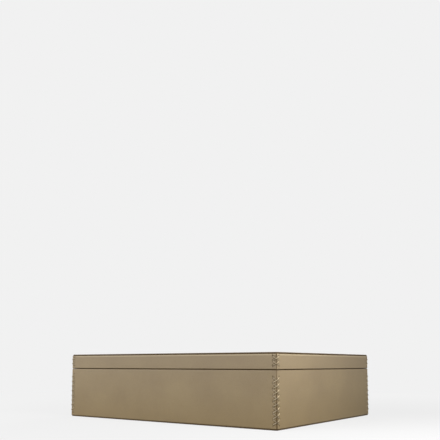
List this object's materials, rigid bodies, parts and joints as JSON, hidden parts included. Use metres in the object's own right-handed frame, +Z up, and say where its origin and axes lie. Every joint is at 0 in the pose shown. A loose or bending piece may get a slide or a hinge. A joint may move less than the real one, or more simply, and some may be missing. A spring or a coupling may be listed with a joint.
{
  "type": "stationery box",
  "caption": "Low rectangular leather-covered box for papers with a flush lift-off lid, a neck that locates the lid and cross-stitched corners.",
  "frame": {"origin": "middle of the underside, on the table", "axes": "+X along the length, +Y from front to back, +Z up"},
  "size_m": [0.352, 0.272, 0.09],
  "materials": {
    "leather": "smooth taupe calf leather with a soft sheen",
    "leather_sheet": "the same leather, with its cut edges stained dark and rubbed",
    "thread": "flat waxed linen thread, a little lighter than the leather",
    "suede": "short-nap suede lining",
    "wood": "bare poplar boards, covered all over",
    "card": "grey binder's board, covered all over"
  },
  "bodies": {
    "base": {"base_floor_board": "wood", "base_front_wall": "wood", "base_back_wall": "wood", "base_left_wall": "wood", "base_right_wall": "wood", "base_bottom_leather": "leather_sheet", "base_front_leather": "leather", "base_back_leather": "leather", "base_left_leather": "leather", "base_right_leather": "leather", "base_front_left_stitching": "thread", "base_front_right_stitching": "thread", "base_back_left_stitching": "thread", "base_back_right_stitching": "thread", "neck_front_board": "card", "neck_back_board": "card", "neck_left_board": "card", "neck_right_board": "card", "neck_front_suede": "suede", "neck_back_suede": "suede", "neck_left_suede": "suede", "neck_right_suede": "suede", "floor_lining": "suede"},
    "lid": {"lid_top_board": "wood", "lid_front_rail": "wood", "lid_back_rail": "wood", "lid_left_rail": "wood", "lid_right_rail": "wood", "lid_top_leather": "leather_sheet", "lid_front_leather": "leather", "lid_back_leather": "leather", "lid_left_leather": "leather", "lid_right_leather": "leather", "lid_front_left_stitching": "thread", "lid_front_right_stitching": "thread", "lid_back_left_stitching": "thread", "lid_back_right_stitching": "thread", "lid_top_lining": "suede", "lid_front_lining": "suede", "lid_back_lining": "suede", "lid_left_lining": "suede", "lid_right_lining": "suede"}
  },
  "joints": [
    {"name": "lid_lift", "type": "slide", "parent": "base", "child": "lid", "axis": [0, 0, 1], "range_m": [0, 0.12]}
  ]
}
